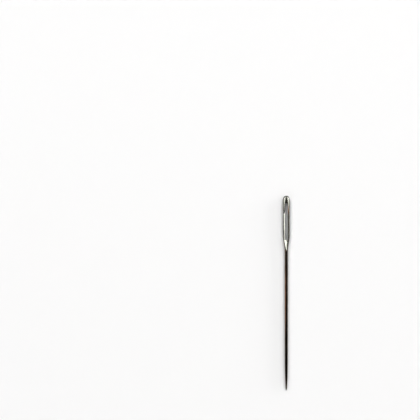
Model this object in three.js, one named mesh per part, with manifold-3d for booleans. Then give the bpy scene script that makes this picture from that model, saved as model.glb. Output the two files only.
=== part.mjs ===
// A sashiko needle: a long hand-sewing needle of hardened, plated steel wire with an extra-large eye.
//
// Millimetres, +Z up. The needle lies flat with its eye facing up, crown towards +Y and point
// towards -Y. The origin is the middle of its footprint, on the surface that it lies on.
//
// The needle is one piece of wire. It is formed here as the wire is: drawn and tapered, struck flat
// at the head, guttered, pierced and pointed. It is then divided into its anatomical zones, which
// meet face to face: the crown, the two cheeks beside the eye, the shoulder and the shaft.

import * as THREE from 'three';
import { mergeVertices, toCreasedNormals } from 'three/addons/utils/BufferGeometryUtils.js';
import Module from 'manifold-3d';

// Lengths along the needle
const NEEDLE_LENGTH = 60;
const CROWN_LENGTH = 2.3; // from the needle's end to the eye
const CROWN_ROUND = 2.3; // stretch over which the crown's end rounds off
const EYE_LENGTH = 11.4;
const SHOULDER_RISE = 1.7; // the head starts to draw in this far above the eye's lower end
const SHOULDER_LENGTH = 5.3; // from there down to the round shaft
const POINT_LENGTH = 12.4; // stretch that is ground down to the tip

// Cross-section of the head, from the middle outwards
const EYE_WIDTH = 0.86;
const BANK_WIDTH = 0.36; // slope of the gutter, from the eye's edge up to the land
const LAND_WIDTH = 0.06; // flat that the die leaves on top of each cheek
const FLANK_WIDTH = 0.31; // rounded outside of each cheek
const HEAD_THICKNESS = 1.18;
const CHEEK_DRAW_IN = 0.06; // each cheek stands this much further in at the shoulder than at the crown

// Gutters, which lead the thread into the eye on both faces
const GUTTER_DEPTH = 0.3; // where the gutter is widest
const GUTTER_EBB = 0.11; // depth that it has lost at the eye's lower end
const LOWER_RUN_OUT = 5; // from the eye's lower end down to where the gutter would reach the face's level
const LOWER_FADE_POWER = 1.1; // how the depth fades there: 1 is a straight ramp, more is a shallower one
const UPPER_RUN_OUT = 5.2; // straight ramp over which the gutter narrows towards the crown
const GUTTER_END_GAP = 0.2; // from the upper end of that ramp to the needle's end

// Thread grooves, which let the thread lie in over the crown, also on both faces
const GROOVE_LENGTH = 2.2; // from the eye up to the groove's tip
const GROOVE_WIDTH = 0.84; // where it opens into the eye
const GROOVE_DEPTH = 0.3; // where it opens into the eye

// Wire
const NECK_DIAMETER = 1.06;
const POINT_BASE_DIAMETER = 1;

// Fullness of the rounded ends: 2 is an ellipse, more is blunter
const CROWN_FULLNESS = 2.6;
const POINT_FULLNESS = 2.6;

// Smoothness
const RING_SIDES = 36;
const POINT_RINGS = 16;
const SHAFT_RINGS = 10;
const SHOULDER_RINGS = 14;
const HEAD_RINGS = 12;
const CROWN_RINGS = 10;
const RIDGE_SIDES = 48;
const RIDGE_STEPS = 8; // along each stretch of a ridge
const EYE_END_STEPS = 8;
const CREASE_ANGLE = THREE.MathUtils.degToRad(25);

// Places along the axis
const crownEnd = NEEDLE_LENGTH / 2;
const eyeTop = crownEnd - CROWN_LENGTH;
const eyeBottom = eyeTop - EYE_LENGTH;
const shoulderTop = eyeBottom + SHOULDER_RISE;
const neck = shoulderTop - SHOULDER_LENGTH;
const tip = -NEEDLE_LENGTH / 2;
const pointBase = tip + POINT_LENGTH;
const gutterLow = eyeBottom - LOWER_RUN_OUT;
const gutterHigh = crownEnd - GUTTER_END_GAP;
const gutterWidest = gutterHigh - UPPER_RUN_OUT;
const grooveTip = eyeTop + GROOVE_LENGTH;
const beyond = NEEDLE_LENGTH; // clear of the needle on every side

// Half sizes of the head's section. The flank is part of an ellipse that the dies cut off at the land.
const eyeHalf = EYE_WIDTH / 2;
const gutterHalf = eyeHalf + BANK_WIDTH;
const landOuter = gutterHalf + LAND_WIDTH;
const headHalf = landOuter + FLANK_WIDTH;
const faceHeight = HEAD_THICKNESS / 2;
const headRise = faceHeight / Math.sqrt(1 - (landOuter / headHalf) ** 2);

const wasm = await Module();
wasm.setup();

const { lerp, smoothstep } = THREE.MathUtils;

// Rounded end: 0 at the very end, 1 where the stretch is over.
function rounding(distance, length, fullness) {
  const left = 1 - THREE.MathUtils.clamp(distance / length, 0, 1);
  return (1 - left ** fullness) ** (1 / fullness);
}

// Half width and half height of the wire at a place along the axis, before the dies strike it.
function sectionAt(y) {
  const alongHead = (crownEnd - y) / (crownEnd - shoulderTop);
  const headWide = headHalf - CHEEK_DRAW_IN * Math.min(alongHead, 1);
  const alongShaft = THREE.MathUtils.clamp((neck - y) / (neck - pointBase), 0, 1);
  const wire = lerp(NECK_DIAMETER, POINT_BASE_DIAMETER, alongShaft) / 2;
  const drawn = 1 - smoothstep(y, neck, shoulderTop);
  const crown = rounding(crownEnd - y, CROWN_ROUND, CROWN_FULLNESS);
  const point = rounding(y - tip, POINT_LENGTH, POINT_FULLNESS);
  return {
    y,
    halfWide: lerp(headWide, wire, drawn) * crown * point,
    halfHigh: lerp(headRise, wire, drawn) * crown * point,
  };
}

// Even places from one end of a stretch to the other, without the last.
function places(from, to, count) {
  return Array.from({ length: count }, (_, i) => lerp(from, to, i / count));
}

// Places that crowd together towards the start, where a rounded end curves most.
function crowdedPlaces(from, to, count) {
  return Array.from({ length: count }, (_, i) => lerp(from, to, (i / count) ** 2));
}

// Closed skin over elliptical rings, drawn to a point on the axis at both ends.
function loft(sections, endLow, endHigh) {
  const positions = [0, endLow, 0];
  for (const { y, halfWide, halfHigh } of sections) {
    for (let side = 0; side < RING_SIDES; side += 1) {
      const angle = (side / RING_SIDES) * 2 * Math.PI;
      positions.push(halfWide * Math.cos(angle), y, halfHigh * Math.sin(angle));
    }
  }
  positions.push(0, endHigh, 0);

  const vertex = (ring, side) => 1 + ring * RING_SIDES + (side % RING_SIDES);
  const last = sections.length - 1;
  const highPole = 1 + sections.length * RING_SIDES;
  const indices = [];
  for (let side = 0; side < RING_SIDES; side += 1) {
    indices.push(0, vertex(0, side), vertex(0, side + 1));
    indices.push(highPole, vertex(last, side + 1), vertex(last, side));
    for (let ring = 0; ring < last; ring += 1) {
      const a = vertex(ring, side);
      const b = vertex(ring, side + 1);
      const c = vertex(ring + 1, side + 1);
      const d = vertex(ring + 1, side);
      indices.push(a, d, c, a, c, b);
    }
  }
  const geometry = new THREE.BufferGeometry();
  geometry.setAttribute('position', new THREE.Float32BufferAttribute(positions, 3));
  geometry.setIndex(indices);
  return geometry;
}

// A geometry as a solid that can be joined and cut.
function solidOf(geometry) {
  const bare = geometry.clone();
  bare.deleteAttribute('normal');
  bare.deleteAttribute('uv');
  const merged = mergeVertices(bare);
  return new wasm.Manifold(new wasm.Mesh({
    numProp: 3,
    vertProperties: new Float32Array(merged.attributes.position.array),
    triVerts: new Uint32Array(merged.index.array),
  }));
}

function geometryOf(solid) {
  const mesh = solid.getMesh();
  const geometry = new THREE.BufferGeometry();
  geometry.setAttribute('position', new THREE.Float32BufferAttribute(mesh.vertProperties, 3));
  geometry.setIndex(new THREE.Uint32BufferAttribute(mesh.triVerts, 1));
  return toCreasedNormals(geometry, CREASE_ANGLE);
}

// A block between two corners, for cutting.
function blockBetween(low, high) {
  const size = new THREE.Vector3().subVectors(high, low);
  const centre = new THREE.Vector3().addVectors(low, high).multiplyScalar(0.5);
  return solidOf(new THREE.BoxGeometry(size.x, size.y, size.z).translate(centre.x, centre.y, centre.z));
}

// The wire with its head spread, its crown rounded and its point ground.
function wireBlank() {
  const sections = [
    ...crowdedPlaces(tip, pointBase, POINT_RINGS).slice(1),
    ...places(pointBase, neck, SHAFT_RINGS),
    ...places(neck, shoulderTop, SHOULDER_RINGS),
    ...places(shoulderTop, crownEnd - CROWN_ROUND, HEAD_RINGS),
    ...crowdedPlaces(crownEnd, crownEnd - CROWN_ROUND, CROWN_RINGS).reverse().slice(0, -1),
  ].map(sectionAt);
  return solidOf(loft(sections, tip, crownEnd));
}

// The space between the two dies that strike the faces of the head flat.
function dieSpace() {
  return blockBetween(
    new THREE.Vector3(-beyond, -beyond, -faceHeight),
    new THREE.Vector3(beyond, beyond, faceHeight),
  );
}

// A hollow pressed into both faces by a ridge of the dies. The ridge is a spindle whose axis lies over
// the face: at full depth it leaves a hollow of the given half width.
function hollows(halfWidth, fullDepth, ys, depthAt) {
  const lift = (halfWidth ** 2 - fullDepth ** 2) / (2 * fullDepth);
  const profile = [
    new THREE.Vector2(0, ys[0]),
    ...ys.map((y) => new THREE.Vector2(lift + depthAt(y), y)),
    new THREE.Vector2(0, ys[ys.length - 1]),
  ];
  const ridge = new THREE.LatheGeometry(profile, RIDGE_SIDES);
  const height = faceHeight + lift;
  const upper = solidOf(ridge.clone().translate(0, 0, height));
  const lower = solidOf(ridge.clone().translate(0, 0, -height));
  return upper.add(lower);
}

// The gutters: deepest below the crown, shallower towards the shoulder, run out at both ends
function gutters() {
  const depthAt = (y) => {
    const ebb = GUTTER_EBB * THREE.MathUtils.clamp((gutterWidest - y) / (gutterWidest - eyeBottom), 0, 1);
    const lowerFade = Math.min((y - gutterLow) / LOWER_RUN_OUT, 1) ** LOWER_FADE_POWER;
    const upperFade = Math.min((gutterHigh - y) / UPPER_RUN_OUT, 1);
    return (GUTTER_DEPTH - ebb) * lowerFade * upperFade;
  };
  const ys = [
    ...places(gutterLow, eyeBottom, RIDGE_STEPS),
    ...places(eyeBottom, gutterWidest, RIDGE_STEPS),
    ...places(gutterWidest, gutterHigh, RIDGE_STEPS),
    gutterHigh,
  ];
  return hollows(gutterHalf, GUTTER_DEPTH, ys, depthAt);
}

// The thread grooves: straight ramps from the crown down into the eye
function grooves() {
  const depthAt = (y) => GROOVE_DEPTH * Math.min((grooveTip - y) / GROOVE_LENGTH, 1);
  const ys = [eyeTop - eyeHalf, ...places(eyeTop, grooveTip, RIDGE_STEPS), grooveTip];
  return hollows(GROOVE_WIDTH / 2, GROOVE_DEPTH, ys, depthAt);
}

// The punch that pierces the eye: a long slot with round ends, right through both faces.
function eyePunch() {
  const slot = new THREE.Shape();
  slot.absarc(0, eyeTop - eyeHalf, eyeHalf, 0, Math.PI, false);
  slot.absarc(0, eyeBottom + eyeHalf, eyeHalf, Math.PI, 2 * Math.PI, false);
  slot.closePath();
  const depth = 2 * HEAD_THICKNESS;
  const punch = new THREE.ExtrudeGeometry(slot, { depth, bevelEnabled: false, curveSegments: EYE_END_STEPS });
  return solidOf(punch.translate(0, 0, -depth / 2));
}

const struckBlank = wireBlank().intersect(dieSpace());
const wholeNeedle = struckBlank.subtract(gutters()).subtract(grooves()).subtract(eyePunch());

// Bright nickel plate over the steel, one finish from crown to tip
function platedSteel() {
  return new THREE.MeshStandardMaterial({ color: 0xc9c7c1, metalness: 1, roughness: 0.22 });
}

// The stretch of the needle between two places along it, on one or both sides of the middle plane.
function zone(name, low, high, left = -beyond, right = beyond) {
  const box = blockBetween(
    new THREE.Vector3(left, low, -beyond),
    new THREE.Vector3(right, high, beyond),
  );
  const mesh = new THREE.Mesh(geometryOf(wholeNeedle.intersect(box)), platedSteel());
  mesh.name = name;
  return mesh;
}

// The cheeks run along the straight sides of the eye. The eye's round ends belong to their neighbours.
const cheekHigh = eyeTop - eyeHalf;
const cheekLow = eyeBottom + eyeHalf;

const needle = new THREE.Group();
needle.name = 'sashiko_needle';
needle.position.z = faceHeight;
needle.add(
  zone('crown', cheekHigh, beyond),
  zone('left_cheek', cheekLow, cheekHigh, -beyond, 0),
  zone('right_cheek', cheekLow, cheekHigh, 0, beyond),
  zone('shoulder', neck, cheekLow),
  zone('shaft', -beyond, neck),
);

export default needle;
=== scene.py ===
"""Looks of a sashiko needle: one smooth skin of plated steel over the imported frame, on a pale floor.

Metres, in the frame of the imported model: the needle lies along Y, crown towards +Y, eye facing +Z.
"""

import math

import bmesh
import bpy
import numpy as np
from mathutils import Matrix, Vector


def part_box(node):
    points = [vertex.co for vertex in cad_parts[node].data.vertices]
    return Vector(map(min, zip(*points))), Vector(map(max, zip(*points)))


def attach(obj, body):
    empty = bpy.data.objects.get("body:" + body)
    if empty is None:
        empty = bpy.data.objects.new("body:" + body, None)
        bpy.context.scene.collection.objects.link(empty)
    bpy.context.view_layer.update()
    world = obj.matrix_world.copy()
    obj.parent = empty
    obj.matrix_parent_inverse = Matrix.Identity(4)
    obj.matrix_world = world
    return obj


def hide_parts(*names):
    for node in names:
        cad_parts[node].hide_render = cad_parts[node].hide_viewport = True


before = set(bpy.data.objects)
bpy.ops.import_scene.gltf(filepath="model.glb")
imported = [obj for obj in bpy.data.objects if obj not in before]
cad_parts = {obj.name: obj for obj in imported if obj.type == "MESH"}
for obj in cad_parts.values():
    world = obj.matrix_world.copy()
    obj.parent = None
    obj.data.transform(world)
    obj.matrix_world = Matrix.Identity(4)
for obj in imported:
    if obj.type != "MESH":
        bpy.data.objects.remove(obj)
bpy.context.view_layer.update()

MM = 0.001

# Shape that the frame's boxes don't tell
BANK_WIDTH = 0.36 * MM
LAND_WIDTH = 0.06 * MM
FLANK_WIDTH = 0.31 * MM
CHEEK_DRAW_IN = 0.06 * MM
CROWN_ROUND = 2.3 * MM
SHOULDER_RISE = 1.7 * MM
POINT_LENGTH = 12.4 * MM
POINT_BASE_RADIUS = 0.5 * MM
GUTTER_DEPTH = 0.3 * MM
GUTTER_EBB = 0.11 * MM
LOWER_RUN_OUT = 5 * MM
UPPER_RUN_OUT = 5.2 * MM
GUTTER_END_GAP = 0.2 * MM
GROOVE_LENGTH = 2.2 * MM
GROOVE_HALF = 0.42 * MM
GROOVE_DEPTH = 0.3 * MM

# Powers of the lower run-out, where 1 is straight, and of the rounded ends, where 2 is an ellipse
LOWER_FADE_POWER = 1.1
CROWN_FULLNESS = 2.6
POINT_FULLNESS = 2.6

# Edges worn round by polishing
EDGE_ROUND = 0.03 * MM
RIM_ROUND = 0.06 * MM

# Depths in the groove over the eye between which its metal turns dull and darkens with painted shade
DULL_AND_SHADE_FROM = 0.03 * MM
DULL_AND_SHADE_FULLY = 0.15 * MM

# Places and half sizes from the frame
crown_low, crown_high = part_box("crown")
cheek_low, cheek_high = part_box("left_cheek")
shaft_low, shaft_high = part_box("shaft")
CROWN_END = crown_high.y
TIP = shaft_low.y
NECK = shaft_high.y
NECK_RADIUS = (shaft_high.x - shaft_low.x) / 2
EYE_HALF = -cheek_high.x
EYE_HIGH = cheek_high.y
EYE_LOW = cheek_low.y
FACE = (crown_high.z - crown_low.z) / 2
MIDDLE = (crown_high.z + crown_low.z) / 2

# Places and half sizes worked out from the frame and the shape
EYE_TOP = EYE_HIGH + EYE_HALF
EYE_BOTTOM = EYE_LOW - EYE_HALF
GUTTER_HALF = EYE_HALF + BANK_WIDTH
LAND_OUTER = GUTTER_HALF + LAND_WIDTH
HEAD_HALF = LAND_OUTER + FLANK_WIDTH
HEAD_RISE = FACE / math.sqrt(1 - (LAND_OUTER / HEAD_HALF) ** 2)
SHOULDER_TOP = EYE_BOTTOM + SHOULDER_RISE
POINT_BASE = TIP + POINT_LENGTH
GUTTER_LOW = EYE_BOTTOM - LOWER_RUN_OUT
GUTTER_HIGH = CROWN_END - GUTTER_END_GAP
GUTTER_WIDEST = GUTTER_HIGH - UPPER_RUN_OUT
GROOVE_TIP = EYE_TOP + GROOVE_LENGTH

# Least length that anything is divided by
TINY = 1e-9


def smoothstep(value, low, high):
    """Smooth change from 0 at low to 1 at high."""
    share = np.clip((value - low) / (high - low), 0, 1)
    return share * share * (3 - 2 * share)


def rounding(distance, length, fullness):
    """Rounded end: 0 at the very end, 1 where the stretch is over."""
    left = 1 - np.clip(distance / length, 0, 1)
    return (1 - left**fullness) ** (1 / fullness)


def half_sizes(y):
    """Half width and half height of the wire at y, before the dies strike it."""
    along_head = np.clip((CROWN_END - y) / (CROWN_END - SHOULDER_TOP), 0, 1)
    head_wide = HEAD_HALF - CHEEK_DRAW_IN * along_head
    along_shaft = np.clip((NECK - y) / (NECK - POINT_BASE), 0, 1)
    wire = NECK_RADIUS + (POINT_BASE_RADIUS - NECK_RADIUS) * along_shaft
    spread = smoothstep(y, NECK, SHOULDER_TOP)
    ends = rounding(CROWN_END - y, CROWN_ROUND, CROWN_FULLNESS)
    ends = ends * rounding(y - TIP, POINT_LENGTH, POINT_FULLNESS)
    half_width = (wire + (head_wide - wire) * spread) * ends
    half_height = (wire + (HEAD_RISE - wire) * spread) * ends
    return half_width, half_height


def eye_distance(x, y):
    """Distance from the wall of the eye, a slot with round ends. It is negative inside the eye."""
    past_end = np.clip(np.maximum(y - EYE_HIGH, EYE_LOW - y), 0, None)
    return np.hypot(x, past_end) - EYE_HALF


def gutter_depth(y):
    """Depth of the gutter at y. It gets shallower down the eye and runs out at both ends."""
    ebb = GUTTER_EBB * np.clip((GUTTER_WIDEST - y) / (GUTTER_WIDEST - EYE_BOTTOM), 0, 1)
    lower_fade = np.clip((y - GUTTER_LOW) / LOWER_RUN_OUT, 0, 1) ** LOWER_FADE_POWER
    upper_fade = np.clip((GUTTER_HIGH - y) / UPPER_RUN_OUT, 0, 1)
    return (GUTTER_DEPTH - ebb) * lower_fade * upper_fade


def groove_depth(y):
    """Depth at y of the groove over the eye. It runs out towards the end of the crown."""
    return np.where(y > EYE_HIGH, GROOVE_DEPTH * np.clip((GROOVE_TIP - y) / GROOVE_LENGTH, 0, 1), 0)


def hollow(x, half_width, full_depth, depth):
    """Height of a hollow that a round ridge presses into the face.

    At its full depth the ridge leaves the given half width.
    """
    lift = (half_width**2 - full_depth**2) / (2 * full_depth)
    return FACE + lift - np.sqrt(np.clip((lift + depth) ** 2 - x**2, 0, None))


def soft_min(a, b, roundness):
    """The smaller of two heights, with the edge between them worn round.

    Also tells how near that edge is, from 0 to 1. The edge itself loses a quarter of the roundness.
    """
    near = np.clip(1 - np.abs(a - b) / roundness, 0, 1)
    return np.minimum(a, b) - near * near * roundness / 4, near


def hump(share):
    """0 at both ends of a stretch, 1 in its middle."""
    return 4 * share * (1 - share)


def upper_surface(x, y):
    """Height of the upper surface over the middle plane, and its finish, with painted light and shade, as
    three shares from 0 to 1.

    The shares are worn edge, recess dulled and darkened with painted shade, and metal struck by the dies.
    """
    wide, high = half_sizes(y)
    flank = high * np.sqrt(np.clip(1 - (x / np.maximum(wide, TINY)) ** 2, 0, 1))
    in_gutter, in_groove = gutter_depth(y), groove_depth(y)
    gutter = hollow(x, GUTTER_HALF, GUTTER_DEPTH, in_gutter)
    groove = hollow(x, GROOVE_HALF, GROOVE_DEPTH, in_groove)
    height, edge = soft_min(np.full_like(x, FACE), gutter, np.clip(in_gutter, TINY, EDGE_ROUND))
    height, brink = soft_min(height, groove, np.clip(in_groove, TINY, EDGE_ROUND))
    # The struck share also picks where the lit tone is painted, against the shaded tones of flanks and
    # shaft
    struck = smoothstep(flank - height, -EDGE_ROUND, EDGE_ROUND)
    height, shoulder = soft_min(height, flank, EDGE_ROUND)
    inset = np.clip(1 - eye_distance(x, y) / RIM_ROUND, 0, 1)
    rim = RIM_ROUND * (1 - np.sqrt(1 - inset**2))
    wear = np.maximum.reduce([edge, brink, shoulder, hump(inset)])
    wear = wear * smoothstep(y, NECK, SHOULDER_TOP)
    # The recess share, deep in the groove and round the eye's rim, dulls the metal there and darkens it
    # with painted shade
    shaded_recess = np.maximum(inset**2, smoothstep(FACE - groove, DULL_AND_SHADE_FROM, DULL_AND_SHADE_FULLY))
    return np.maximum(height - rim, 0), {"wear": wear, "shaded_recess": shaded_recess, "struck": struck}


# Counts and steps of the mesh
FLANK_COLUMNS = 36
MIDDLE_COLUMNS = 20
WALL_LEVELS = 6
RIM_ROWS = 6
ARC_ROWS = 8
POINT_ROWS = 48
END_ROWS = 46
SHAFT_STEP = 0.5 * MM
SHOULDER_STEP = 0.12 * MM
EYE_END_STEP = 0.05 * MM
CHEEK_STEP = 0.14 * MM
CROWN_STEP = 0.06 * MM

# How far the fine rows below the eye reach, and the bent rows below and above it
EYE_END_REACH = 0.5 * MM
BEND_REACH = 1.5 * MM

# Share of the half width at which the side line runs along the shaft and ends at the crown
SIDE_SHARE = 0.26

# Distance within which points become one
WELD = 5e-9

# Where the mesh turns from the side of the eye to its end: halfway round the quarter arc, along each axis
CORNER = math.sqrt(0.5) * EYE_HALF


def spaced(start, end, step):
    """Even places from start to end, about a step apart, without the end."""
    count = max(1, round(abs(end - start) / step))
    return start + (end - start) * np.arange(count) / count


def crowded(start, end, count):
    """Places from start to end that crowd towards the start, without the end."""
    return start + (end - start) * (np.arange(count) / count) ** 2


def row_places():
    """Y of every row of the mesh: below the eye, beside it and above it.

    Neighbouring stretches share their end rows.
    """
    low_corner = EYE_LOW - CORNER
    high_corner = EYE_HIGH + CORNER
    rim = RIM_ROUND * (1 - np.cos(np.arange(RIM_ROWS) / RIM_ROWS * math.pi / 2))
    arc = np.sin(np.linspace(0, math.pi / 4, ARC_ROWS + 1)) * EYE_HALF
    below = np.concatenate([
        crowded(TIP, POINT_BASE, POINT_ROWS),
        spaced(POINT_BASE, NECK, SHAFT_STEP),
        spaced(NECK, low_corner - EYE_END_REACH, SHOULDER_STEP),
        spaced(low_corner - EYE_END_REACH, low_corner - RIM_ROUND, EYE_END_STEP),
        (low_corner - rim)[::-1],
    ])
    beside = np.concatenate([
        (EYE_LOW - arc)[::-1][:-1],
        spaced(EYE_LOW, EYE_HIGH, CHEEK_STEP),
        EYE_HIGH + arc,
    ])
    above = np.concatenate([
        high_corner + rim,
        spaced(high_corner + RIM_ROUND, CROWN_END - CROWN_ROUND, CROWN_STEP),
        crowded(CROWN_END, CROWN_END - CROWN_ROUND, END_ROWS)[::-1],
    ])
    return below, beside, above


def side_line(y):
    """X of the column that runs along the eye's wall, and on over the shoulder and the crown."""
    wide, _ = half_sizes(y)
    past_end = np.clip(np.maximum(y - EYE_HIGH, EYE_LOW - y), 0, CORNER)
    wall = np.sqrt(EYE_HALF**2 - past_end**2)
    to_shaft = smoothstep(EYE_LOW - CORNER - y, 0, EYE_LOW - CORNER - NECK)
    to_crown = smoothstep(y - EYE_HIGH - CORNER, 0, CROWN_END - EYE_HIGH - CORNER)
    return wall + (SIDE_SHARE * wide - wall) * np.maximum(to_shaft, to_crown)


def flank_grid(rows):
    """Upper points of the right side: one row per place, from the outer edge to the side line."""
    share = (1 - np.cos(np.linspace(0, math.pi, FLANK_COLUMNS + 1))) / 2
    outer = half_sizes(rows)[0][:, None]
    inner = side_line(rows)[:, None]
    x = outer + (inner - outer) * share
    y = np.broadcast_to(rows[:, None], x.shape)
    z = upper_surface(x, y)[0]
    # The outer edge lies in the middle plane, where the upper and the lower face meet
    z[:, 0] = 0
    return np.stack([x, y, z], axis=-1)


def middle_grid(rows, end):
    """Upper points between the side lines, bent near the eye so that they follow its round end.

    end is the Y of the eye's end arc centre. The rows run away from the eye or towards it.
    """
    share = np.linspace(1, -1, MIDDLE_COLUMNS + 1)
    x = side_line(rows)[:, None] * share
    away = 1 if end == EYE_HIGH else -1
    corner = end + away * CORNER
    bulge = np.sqrt(np.clip(EYE_HALF**2 - (CORNER * share) ** 2, 0, None)) - CORNER
    gone = np.abs(rows - corner)[:, None]
    bend = 1 - smoothstep(gone, RIM_ROUND, BEND_REACH)
    y = np.clip(rows[:, None] + away * bulge * bend, TIP, CROWN_END)
    z = upper_surface(x, y)[0]
    return np.stack([x, y, z], axis=-1)


class Skin:
    """Collects sheets of quads and welds them into one closed mesh."""

    def __init__(self):
        self.points = []
        self.quads = []

    def sheet(self, grid):
        """Adds a grid of points, with a quad between each four neighbours."""
        rows, columns, _ = grid.shape
        first = len(self.points)
        self.points.extend(map(tuple, grid.reshape(-1, 3)))
        for row in range(rows - 1):
            for column in range(columns - 1):
                here = first + row * columns + column
                self.quads.append((here, here + 1, here + columns + 1, here + columns))

    def both_faces(self, grid):
        """Adds a grid of the upper face and its mirror image on the lower face."""
        self.sheet(grid)
        self.sheet(grid * np.array([1, 1, -1]))

    def wall(self, edge):
        """Adds a wall from an edge on the upper face down to its mirror image on the lower face."""
        levels = np.linspace(1, -1, WALL_LEVELS + 1)[:, None, None]
        self.sheet(edge[None] * np.concatenate([np.ones((WALL_LEVELS + 1, 1, 2)), levels], axis=-1))

    def mesh(self, name):
        """The welded mesh, with all its faces turned outwards."""
        data = bpy.data.meshes.new(name)
        data.from_pydata(self.points, [], self.quads)
        work = bmesh.new()
        work.from_mesh(data)
        bmesh.ops.remove_doubles(work, verts=work.verts, dist=WELD)
        bmesh.ops.dissolve_degenerate(work, edges=work.edges, dist=WELD)
        bmesh.ops.recalc_face_normals(work, faces=work.faces)
        work.to_mesh(data)
        work.free()
        return data


def needle_mesh():
    """The skin of the whole needle, with the shares of its finish and painted light and shade stored at its
    points.
    """
    below, beside, above = row_places()
    mirror = np.array([-1, 1, 1])
    skin = Skin()
    for rows in (below, beside, above):
        right = flank_grid(rows)
        for side in (right, right * mirror):
            skin.both_faces(side)
            if rows is beside:
                skin.wall(side[:, -1])
    low = middle_grid(below, EYE_LOW)
    high = middle_grid(above, EYE_HIGH)
    skin.both_faces(low)
    skin.both_faces(high)
    skin.wall(low[-1])
    skin.wall(high[0])
    data = skin.mesh("needle")
    points = np.empty(len(data.vertices) * 3)
    data.vertices.foreach_get("co", points)
    points = points.reshape(-1, 3)
    _, finish_and_painted_light = upper_surface(points[:, 0], points[:, 1])
    for name, share in finish_and_painted_light.items():
        data.attributes.new(name, "FLOAT", "POINT").data.foreach_set("value", share)
    data.transform(Matrix.Translation((0, 0, MIDDLE)))
    data.shade_smooth()
    return data


# Sockets of the Mix node that carry colours
COLOUR_A, COLOUR_B, COLOUR_OUT = 6, 7, 2


class Nodes:
    """Short ways to add nodes to a tree."""

    def __init__(self, tree):
        self.tree = tree

    def add(self, kind, **settings):
        """A new node with the given settings."""
        node = self.tree.nodes.new(kind)
        for key, value in settings.items():
            setattr(node, key, value)
        return node

    def feed(self, socket, source):
        """Links a socket to another node's output, or sets its value."""
        if isinstance(source, bpy.types.NodeSocket):
            self.tree.links.new(source, socket)
        else:
            socket.default_value = source

    def span(self, value, low, high, start=0.0, end=1.0):
        """A value's stretch from low to high, as a smooth change from start to end."""
        node = self.add("ShaderNodeMapRange", interpolation_type="SMOOTHSTEP")
        self.feed(node.inputs["Value"], value)
        self.feed(node.inputs["From Min"], low)
        self.feed(node.inputs["From Max"], high)
        self.feed(node.inputs["To Min"], start)
        self.feed(node.inputs["To Max"], end)
        return node.outputs["Result"]

    def blend(self, share, a, b):
        """A colour between a, at share 0, and b, at share 1."""
        node = self.add("ShaderNodeMix", data_type="RGBA")
        self.feed(node.inputs["Factor"], share)
        self.feed(node.inputs[COLOUR_A], a)
        self.feed(node.inputs[COLOUR_B], b)
        return node.outputs[COLOUR_OUT]

    def math(self, operation, a, b):
        """The result of an operation on two values."""
        node = self.add("ShaderNodeMath", operation=operation)
        self.feed(node.inputs[0], a)
        self.feed(node.inputs[1], b)
        return node.outputs[0]

    def noise(self, vector, scale, detail):
        """Noise in object space, with its own number of features per metre along each axis."""
        stretch = self.add("ShaderNodeVectorMath", operation="MULTIPLY")
        self.feed(stretch.inputs[0], vector)
        self.feed(stretch.inputs[1], scale)
        node = self.add("ShaderNodeTexNoise")
        self.feed(node.inputs["Vector"], stretch.outputs[0])
        self.feed(node.inputs["Scale"], 1.0)
        self.feed(node.inputs["Detail"], detail)
        return node.outputs["Fac"]

    def attribute(self, name):
        """A value stored at the points of the mesh."""
        return self.add("ShaderNodeAttribute", attribute_name=name).outputs["Fac"]


# Tones of the needle: one plate, painted in a lit tone on the struck faces and in shaded tones on flanks
# and shaft
# Painted light: the lit tone of the struck faces, varying at random between these two
STRUCK_LIT_LIGHT = (0.452, 0.46, 0.405, 1)
STRUCK_LIT_DARK = (0.364, 0.37, 0.325, 1)
# Painted shade: the flanks' tones, darkened to stand in for darker reflections
FLANK_SHADED_LIGHT = (0.18, 0.18, 0.16, 1)
FLANK_SHADED_DARK = (0.125, 0.125, 0.11, 1)
# Painted shade and light: the shaft's tones, darkened for darker reflections and browned partly to paint
# warm light from the left
SHAFT_SHADED_LIGHT = (0.18, 0.15, 0.127, 1)
SHAFT_SHADED_DARK = (0.125, 0.103, 0.087, 1)
EDGE_WORN = (0.495, 0.495, 0.455, 1)
# Painted shade: the dark tone of the groove over the eye and the eye's rim
RECESS_PAINTED_SHADE = (0.06, 0.06, 0.05, 1)

# Roughness of shaft and head, and what the ground tip, the recesses and the drawing lines add to it
SHAFT_ROUGHNESS = 0.07
HEAD_ROUGHNESS = 0.13
GROUND_ROUGHNESS = 0.08
RECESS_ROUGHNESS = 0.25
SMOOTHER_LINE = -0.02
ROUGHER_LINE = 0.03

# Where the roughness of the ground tip starts
GROUND_LENGTH = 4 * MM
GROUND_FROM = TIP + GROUND_LENGTH

# Noise: drawing lines along the needle and cloudy patches, with the stretch of each that makes a pattern
LINES_PER_METRE = (16000, 350, 16000)
LINE_DETAIL = 3.0
LINE_SPAN = (0.3, 0.7)
WORN_SPAN = (0.3, 0.6)
LINE_HEIGHT = 0.4e-6
CLOUDS_PER_METRE = (900, 400, 900)
CLOUD_DETAIL = 2.0
CLOUD_SPAN = (0.35, 0.65)


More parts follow.
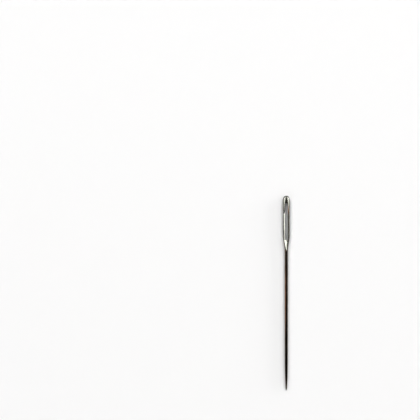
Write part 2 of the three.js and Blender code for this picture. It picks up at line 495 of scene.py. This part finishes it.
def plated_steel():
    """Plated steel, painted pale as if lit where the dies struck it and darker as if shaded on flanks and
    shaft, and dull in the recesses, which painted shade darkens.
    """
    material = bpy.data.materials.new("plated_steel")
    material.use_nodes = True
    shader = material.node_tree.nodes["Principled BSDF"]
    make = Nodes(material.node_tree)
    place = make.add("ShaderNodeTexCoord").outputs["Object"]
    split = make.add("ShaderNodeSeparateXYZ")
    make.feed(split.inputs[0], place)
    along = split.outputs["Y"]
    lines = make.noise(place, LINES_PER_METRE, LINE_DETAIL)
    clouds = make.noise(place, CLOUDS_PER_METRE, CLOUD_DETAIL)
    wear = make.attribute("wear")
    shaded_recess = make.attribute("shaded_recess")
    struck = make.attribute("struck")

    cloudy = make.span(clouds, *CLOUD_SPAN)
    # Painted light and shade: lit tone on the struck faces, shaded tones on flanks and shaft
    shaft_painted_shade = make.blend(cloudy, SHAFT_SHADED_DARK, SHAFT_SHADED_LIGHT)
    flank_painted_shade = make.blend(cloudy, FLANK_SHADED_DARK, FLANK_SHADED_LIGHT)
    struck_painted_light = make.blend(cloudy, STRUCK_LIT_DARK, STRUCK_LIT_LIGHT)
    tone = make.blend(make.span(along, NECK, SHOULDER_TOP), shaft_painted_shade, flank_painted_shade)
    tone = make.blend(struck, tone, struck_painted_light)
    worn = make.math("MULTIPLY", wear, make.span(lines, *WORN_SPAN))
    tone = make.blend(worn, tone, EDGE_WORN)
    # Painted shade darkens the recesses
    tone = make.blend(shaded_recess, tone, RECESS_PAINTED_SHADE)
    make.feed(shader.inputs["Base Color"], tone)
    make.feed(shader.inputs["Metallic"], 1.0)

    satin = make.span(struck, 0.0, 1.0, SHAFT_ROUGHNESS, HEAD_ROUGHNESS)
    ground = make.span(along, GROUND_FROM, TIP, 0.0, GROUND_ROUGHNESS)
    streaks = make.span(lines, *LINE_SPAN, SMOOTHER_LINE, ROUGHER_LINE)
    dull = make.math("MULTIPLY", shaded_recess, RECESS_ROUGHNESS)
    rough = make.math("ADD", make.math("ADD", satin, ground), make.math("ADD", streaks, dull))
    make.feed(shader.inputs["Roughness"], rough)

    bump = make.add("ShaderNodeBump")
    make.feed(bump.inputs["Strength"], 1.0)
    make.feed(bump.inputs["Distance"], LINE_HEIGHT)
    make.feed(bump.inputs["Height"], lines)
    make.feed(shader.inputs["Normal"], bump.outputs["Normal"])
    return material


def add_needle():
    """The needle, which stands for all five nodes of the frame."""
    needle = bpy.data.objects.new("needle", needle_mesh())
    bpy.context.scene.collection.objects.link(needle)
    needle.data.materials.append(plated_steel())
    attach(needle, "root")
    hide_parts("crown", "left_cheek", "right_cheek", "shoulder", "shaft")


# Floor
FLOOR_SIZE = 12.0
FLOOR_COLOUR = (0.928, 0.93, 0.931, 1)
FLOOR_ROUGHNESS = 1.0
FLOOR_GLOSS = 0.0


def add_floor():
    """A wide matt floor under the needle."""
    half = FLOOR_SIZE / 2
    corners = [(-half, -half, 0), (half, -half, 0), (half, half, 0), (-half, half, 0)]
    data = bpy.data.meshes.new("floor")
    data.from_pydata(corners, [], [(0, 1, 2, 3)])
    floor = bpy.data.objects.new("floor", data)
    bpy.context.scene.collection.objects.link(floor)
    material = bpy.data.materials.new("pale_floor")
    material.use_nodes = True
    shader = material.node_tree.nodes["Principled BSDF"]
    shader.inputs["Base Color"].default_value = FLOOR_COLOUR
    shader.inputs["Roughness"].default_value = FLOOR_ROUGHNESS
    shader.inputs["Specular IOR Level"].default_value = FLOOR_GLOSS
    floor.data.materials.append(material)


# Luminous panels in the ceiling: edges left, right, near and far, and radiance.
# The edges are tangents of angles from the zenith.
CEILING = 2.5
PANELS = {
    "overhead_near": (-0.15, 0.9, 0.012, 0.08, 3.0),
    "overhead_far": (-0.5, 0.9, 0.08, 0.18, 3.0),
    "right_wing": (0.9, 3.5, 0.012, 0.3, 4.0),
    "back_right": (0.42, 0.77, 0.25, 2.2, 6.8),
    "back_left": (-0.84, -0.42, 0.25, 2.2, 7.35),
    "front_left": (-2.0, -0.4, -0.6, -0.32, 1.8),
    "far_front_left": (-1.4, -0.6, -1.5, -1.2, 4.5),
    "far_front_right": (0.6, 1.4, -1.5, -1.2, 4.5),
}

# Softboxes, turned towards the needle: direction, distance, width, height, radiance and colour.
# The low one at the right draws the soft shadow out to the left.
# The tall one at the left warms that side of the shaft.
SOFTBOXES = {
    "low": ((3.5, 1.3, 0.6), 3.0, 1.0, 0.6, 24.0, (1.0, 1.0, 1.0)),
    "tall": ((-3.0, -0.236, 1.9), 3.56, 0.1, 2.9, 2.0, (1.0, 0.45, 0.25)),
}

# The room: dim and a little warm at the left, dim at the right, pale in front, dark overhead,
# and as pale as the floor near the horizon
ROOM_LEFT = (0.14, 0.125, 0.115, 1)
ROOM_RIGHT = (0.08, 0.08, 0.078, 1)
ROOM_FRONT = (0.6, 0.6, 0.59, 1)
ROOM_CEILING = (0.009, 0.007, 0.006, 1)
ROOM_HORIZON = (0.93, 0.93, 0.925, 1)

# Where those meet, as parts of a unit direction:
# left to right, sides to front, walls to ceiling and horizon to walls
SIDE_SPAN = (-0.3, 0.3)
FRONT_SPAN = (-0.3, -0.6)
CEILING_SPAN = (0.2, 0.75)
HORIZON_SPAN = (0.05, 0.12)


def add_lamp(name, width, height, radiance):
    """An area lamp with the power of a matt surface that has this radiance."""
    lamp = bpy.data.lights.new(name, "AREA")
    lamp.shape = "RECTANGLE"
    lamp.size = width
    lamp.size_y = height
    lamp.energy = radiance * width * height * math.pi
    holder = bpy.data.objects.new(name, lamp)
    bpy.context.scene.collection.objects.link(holder)
    return holder


def add_lights():
    """The panels in the ceiling, which shine straight down, and the softboxes around the needle."""
    for name, (left, right, near, far, radiance) in PANELS.items():
        panel = add_lamp(name, (right - left) * CEILING, (far - near) * CEILING, radiance)
        panel.location = ((left + right) / 2 * CEILING, (near + far) / 2 * CEILING, CEILING)
    for name, (direction, distance, width, height, radiance, colour) in SOFTBOXES.items():
        box = add_lamp(name, width, height, radiance)
        box.data.color = colour
        towards = Vector(direction).normalized()
        box.location = towards * distance
        box.rotation_euler = towards.to_track_quat("Z", "Y").to_euler()


def add_room():
    """The world: soft light from all sides, and what the steel reflects between the lamps."""
    world = bpy.data.worlds.new("studio")
    bpy.context.scene.world = world
    world.use_nodes = True
    make = Nodes(world.node_tree)
    split = make.add("ShaderNodeSeparateXYZ")
    make.feed(split.inputs[0], make.add("ShaderNodeTexCoord").outputs["Generated"])
    across, back, up = split.outputs["X"], split.outputs["Y"], split.outputs["Z"]
    sides = make.blend(make.span(across, *SIDE_SPAN), ROOM_LEFT, ROOM_RIGHT)
    sides = make.blend(make.span(back, *FRONT_SPAN), sides, ROOM_FRONT)
    walls = make.blend(make.span(up, *CEILING_SPAN), sides, ROOM_CEILING)
    room = make.blend(make.span(up, *HORIZON_SPAN), ROOM_HORIZON, walls)
    make.feed(world.node_tree.nodes["Background"].inputs["Color"], room)


# Picture: its side, and where the photograph has the ends of the needle, in pixels
IMAGE_SIDE = 420
CROWN_PIXEL = (286.3, 195.6)
TIP_PIXEL = (286.25, 390.4)

# Camera: lens and sensor in millimetres, near clip in metres
LENS = 120.0
SENSOR = 36.0
NEAR_CLIP = 0.01


def from_centre(pixel):
    """Place of a pixel from the middle of the picture, X to the right and Y upwards."""
    return Vector((pixel[0] - IMAGE_SIDE / 2, IMAGE_SIDE / 2 - pixel[1]))


def add_camera():
    """A camera straight above, with the ends of the needle where the photograph has them."""
    crown = from_centre(CROWN_PIXEL)
    tip = from_centre(TIP_PIXEL)
    lean = crown - tip
    pixel = (CROWN_END - TIP) / lean.length
    roll = math.atan2(lean.x, lean.y)
    aside = Matrix.Rotation(roll, 2) @ (crown + tip) / 2 * pixel
    camera = bpy.data.cameras.new("camera")
    camera.lens = LENS
    camera.sensor_width = SENSOR
    camera.clip_start = NEAR_CLIP
    holder = bpy.data.objects.new("camera", camera)
    bpy.context.scene.collection.objects.link(holder)
    height = MIDDLE + pixel * IMAGE_SIDE * LENS / SENSOR
    holder.location = (-aside.x, (CROWN_END + TIP) / 2 - aside.y, height)
    holder.rotation_euler = (0, 0, roll)
    bpy.context.scene.camera = holder


add_needle()
add_floor()
add_lights()
add_room()
add_camera()
bpy.context.scene.view_settings.view_transform = "Standard"
